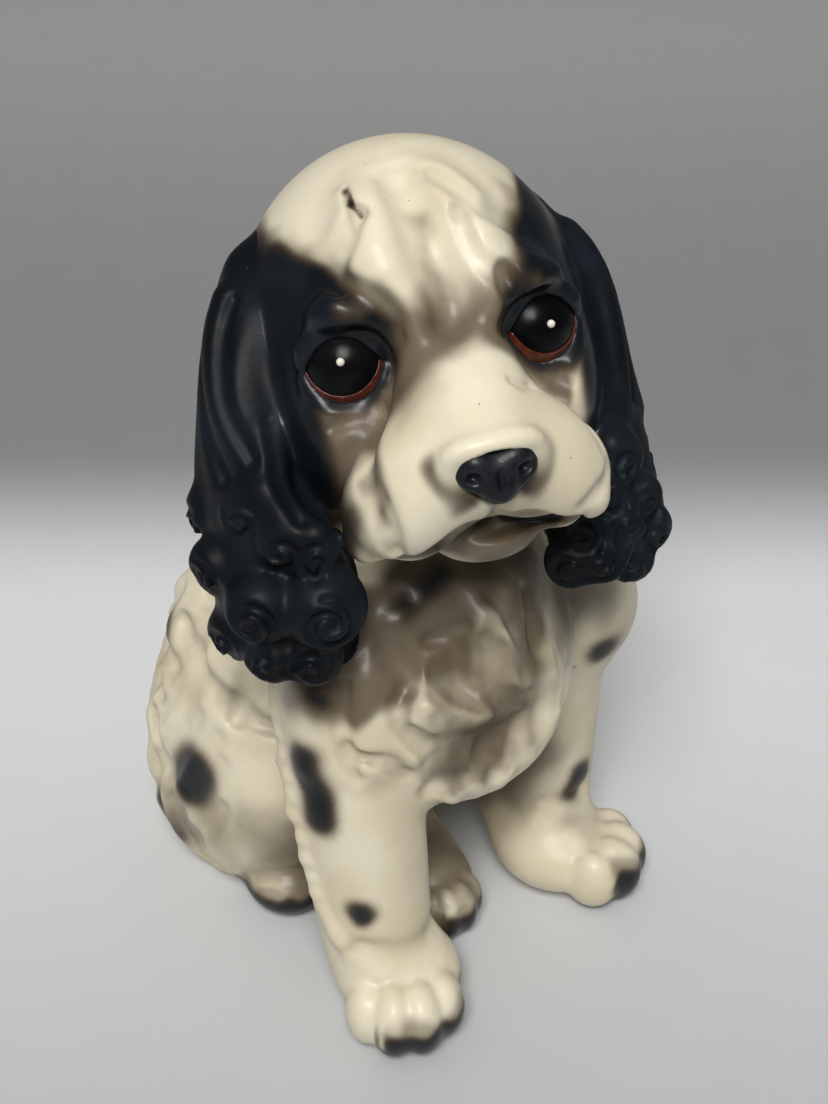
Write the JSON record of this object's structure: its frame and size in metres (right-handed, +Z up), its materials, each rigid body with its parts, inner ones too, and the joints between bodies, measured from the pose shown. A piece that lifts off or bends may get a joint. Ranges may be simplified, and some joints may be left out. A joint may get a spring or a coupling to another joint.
{
  "type": "ceramic dog figurine",
  "caption": "Sitting spaniel puppy figurine in glazed slip-cast ceramic, hollow body, long curly ears, glossy painted eyes, flat base for a shelf.",
  "frame": {"origin": "middle of the figurine's footprint box on the table plane", "axes": "+Z up, the body faces -Y, the dog's right side is -X"},
  "size_m": [0.1238, 0.1448, 0.2],
  "materials": {
    "body_glaze": "satin cream glaze with brown airbrush in the fur and soft black spots",
    "head_glaze": "satin cream glaze with brown airbrush in the wrinkles and black patches round the eyes",
    "ear_glaze": "satin blue-black glaze",
    "limb_glaze": "satin cream glaze with soft black spots and dark toe tips",
    "nose_glaze": "satin black",
    "eye_enamel": "high gloss black enamel",
    "rim_enamel": "gloss red-brown enamel",
    "glint_enamel": "gloss cream enamel"
  },
  "bodies": {
    "root": {"torso": "body_glaze", "head": "head_glaze", "ear_right": "ear_glaze", "ear_left": "ear_glaze", "foreleg_right": "limb_glaze", "foreleg_left": "limb_glaze", "haunch_right": "limb_glaze", "haunch_left": "limb_glaze", "hind_paw_right": "limb_glaze", "hind_paw_left": "limb_glaze", "tail": "limb_glaze", "nose": "nose_glaze", "eye_right": "eye_enamel", "eye_left": "eye_enamel", "eye_rim_right": "rim_enamel", "eye_rim_left": "rim_enamel", "glint_right": "glint_enamel", "glint_left": "glint_enamel"}
  },
  "joints": []
}
